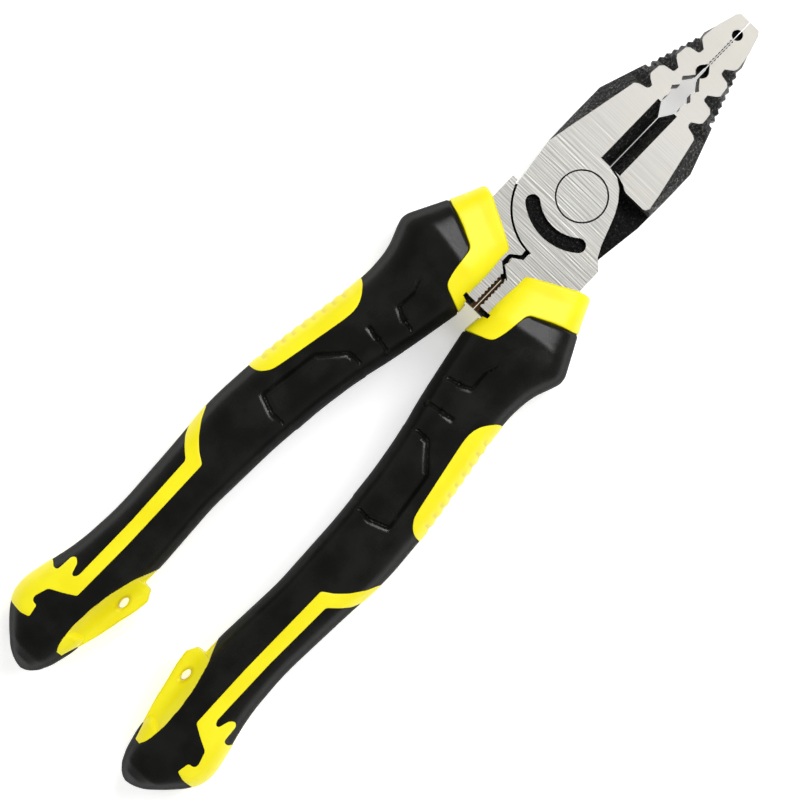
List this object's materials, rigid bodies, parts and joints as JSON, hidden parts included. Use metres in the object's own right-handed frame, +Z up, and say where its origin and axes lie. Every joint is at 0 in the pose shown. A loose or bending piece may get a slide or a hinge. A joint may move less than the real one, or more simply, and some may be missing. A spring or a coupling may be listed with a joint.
{
  "type": "lineman pliers",
  "caption": "Lineman pliers with lapped forged levers on a flush rivet, side cutter, pipe grip, crimping die, and two-colour moulded grips with guards and lanyard tabs.",
  "frame": {"origin": "centre of the bounding box in plan, on the surface that the closed pliers lie on", "axes": "+X along the tool to the nose, +Y to the handle of lever B, +Z up along the rivet"},
  "size_m": [0.2326, 0.065, 0.0224],
  "materials": {
    "ground_steel": "surface-ground faces over black forged flanks",
    "yellow_plastic": "satin",
    "black_rubber": "fine matt grain"
  },
  "bodies": {
    "fixed_half": {"lever_a": "ground_steel", "pivot_rivet": "ground_steel", "core_sleeve_a": "yellow_plastic", "guard_collar_a": "yellow_plastic", "thumb_pad_a": "yellow_plastic", "palm_stripe_a": "yellow_plastic", "lanyard_tab_a": "yellow_plastic", "grip_skin_a": "black_rubber"},
    "turning_half": {"lever_b": "ground_steel", "core_sleeve_b": "yellow_plastic", "guard_collar_b": "yellow_plastic", "thumb_pad_b": "yellow_plastic", "palm_stripe_b": "yellow_plastic", "lanyard_tab_b": "yellow_plastic", "grip_skin_b": "black_rubber"}
  },
  "joints": [
    {"name": "jaw_pivot", "type": "hinge", "parent": "fixed_half", "child": "turning_half", "pos_m": [0.05895, 0, 0.0112], "axis": [0, 0, -1], "range_deg": [0, 40]}
  ]
}
